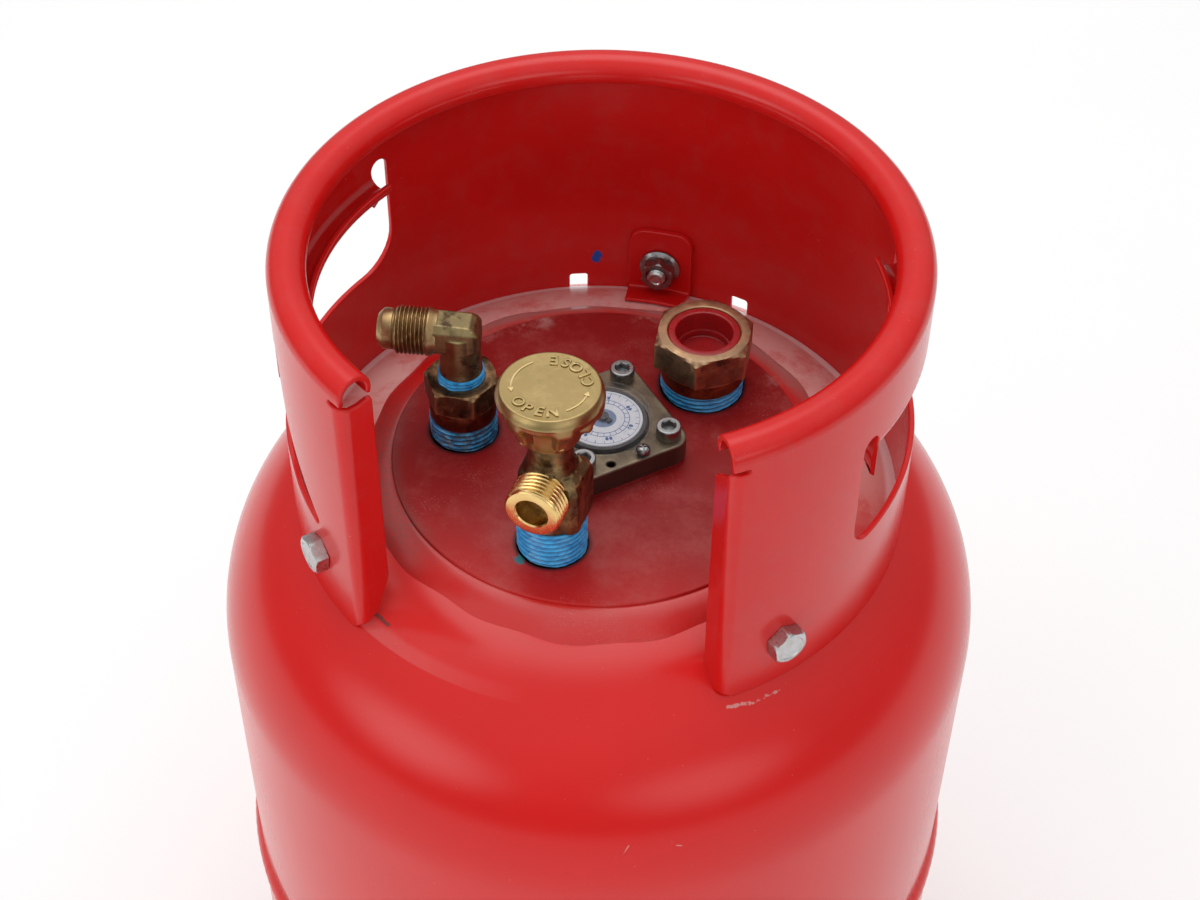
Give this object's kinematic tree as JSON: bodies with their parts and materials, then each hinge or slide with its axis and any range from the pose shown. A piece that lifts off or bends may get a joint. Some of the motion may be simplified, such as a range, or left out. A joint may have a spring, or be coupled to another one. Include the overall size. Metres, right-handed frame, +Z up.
{
  "type": "propane tank",
  "caption": "Upright refillable propane tank with a guard collar, service valve, fill elbow, relief valve and float gauge.",
  "frame": {"origin": "on the tank's axis, in the plane its foot ring stands on", "axes": "+Z up along the tank's axis; -Y through the middle of the collar's front opening"},
  "size_m": [0.3152, 0.3152, 0.5565],
  "materials": {
    "red_paint": "gloss",
    "plate_paint": "dusty satin",
    "aged_brass": "dull, tarnished",
    "bright_brass": "machined",
    "zinc": "zinc plated",
    "steel": "plain",
    "blue_sealant": "thin dried film",
    "gauge_alloy": "dull cast",
    "black_rubber": "matt",
    "clear_plastic": "clear",
    "dial_print": "printed",
    "needle_plastic": "matt",
    "red_plastic": "satin",
    "float_foam": "matt"
  },
  "bodies": {
    "tank": {"upper_shell": "red_paint", "lower_shell": "red_paint", "seam_weld": "red_paint", "foot_ring": "red_paint", "foot_ring_weld": "red_paint", "valve_plate": "plate_paint", "valve_plate_weld": "red_paint", "valve_sealant": "blue_sealant", "fill_sealant": "blue_sealant", "relief_sealant": "blue_sealant", "elbow_sealant": "blue_sealant", "collar_bracket_left": "red_paint", "collar_bracket_right": "red_paint", "collar_bracket_back": "red_paint", "collar": "red_paint", "collar_bolts": "zinc", "collar_nuts": "zinc", "valve_body": "aged_brass", "bonnet": "steel", "stem_seal": "black_rubber", "fill_adapter": "aged_brass", "fill_elbow": "aged_brass", "check_spring": "steel", "check_guide": "bright_brass", "stop_valve_body": "bright_brass", "relief_body": "aged_brass", "relief_spring": "steel", "gauge_flange": "gauge_alloy", "gauge_gasket": "black_rubber", "gauge_screws": "zinc", "dial_cup": "needle_plastic", "dial_face": "dial_print", "dial_lens": "clear_plastic", "dial_screws": "zinc", "gauge_stem": "steel", "stem_bushes": "needle_plastic"},
    "handwheel_set": {"handwheel": "aged_brass", "upper_spindle": "bright_brass"},
    "valve_spindle": {"lower_spindle": "bright_brass", "seat_disc": "black_rubber"},
    "level_float": {"float_arm": "steel", "gauge_float": "float_foam", "counterweight": "steel"},
    "drive_shaft": {"gauge_shaft": "steel"},
    "needle": {"dial_needle": "needle_plastic"},
    "stop_float_set": {"stop_arm": "steel", "stop_float": "float_foam"},
    "stop_piston": {"stop_piston": "bright_brass"},
    "check_valve": {"check_poppet": "bright_brass"},
    "relief_valve": {"relief_poppet": "bright_brass", "relief_seal": "black_rubber", "relief_adjuster": "bright_brass"},
    "dust_plug": {"dust_plug": "red_plastic"}
  },
  "joints": [
    {"name": "handwheel_turn", "type": "hinge", "parent": "tank", "child": "handwheel_set", "pos_m": [-0.0062, -0.053, 0.52], "axis": [0, 0, 1], "range_deg": [0, 900]},
    {"name": "valve_spindle_slide", "type": "slide", "parent": "handwheel_set", "child": "valve_spindle", "axis": [0, 0, 1], "range_m": [0, 0.00376]},
    {"name": "level_float_swing", "type": "hinge", "parent": "tank", "child": "level_float", "pos_m": [0.0005, 0.003, 0.228], "axis": [0, -1, 0], "range_deg": [0, 120]},
    {"name": "drive_shaft_spin", "type": "hinge", "parent": "tank", "child": "drive_shaft", "pos_m": [0.0005, 0.003, 0.4], "axis": [0, 0, 1], "range_deg": [-270.5, 0.5]},
    {"name": "needle_spin", "type": "hinge", "parent": "tank", "child": "needle", "pos_m": [0.0005, 0.003, 0.4625], "axis": [0, 0, 1], "range_deg": [-270.5, 0.5]},
    {"name": "stop_float_swing", "type": "hinge", "parent": "tank", "child": "stop_float_set", "pos_m": [-0.055, -0.0016, 0.372], "axis": [1, 0, 0], "range_deg": [0, 55]},
    {"name": "stop_piston_slide", "type": "slide", "parent": "tank", "child": "stop_piston", "axis": [0, 0, 1], "range_m": [-0.00301, 0.00001]},
    {"name": "check_valve_slide", "type": "slide", "parent": "tank", "child": "check_valve", "axis": [0, 0, -1], "range_m": [0, 0.004], "stiffness_N_per_m": 800, "springref_m": -0.003, "deforming": ["check_spring"]},
    {"name": "relief_valve_slide", "type": "slide", "parent": "tank", "child": "relief_valve", "axis": [0, 0, 1], "range_m": [0, 0.0025], "stiffness_N_per_m": 8000, "springref_m": -0.004, "deforming": ["relief_spring"]},
    {"name": "dust_plug_pull", "type": "slide", "parent": "tank", "child": "dust_plug", "axis": [0, 0, 1], "range_m": [0, 0.03]}
  ],
  "couplings": [
    {"joint": "valve_spindle_slide", "follows": "handwheel_turn", "m_per_rad": 0.00023873},
    {"joint": "drive_shaft_spin", "follows": "level_float_swing", "ratio": -2.25},
    {"joint": "needle_spin", "follows": "level_float_swing", "ratio": -2.25},
    {"joint": "stop_piston_slide", "follows": "stop_float_swing", "m_per_rad": -0.0031252}
  ]
}
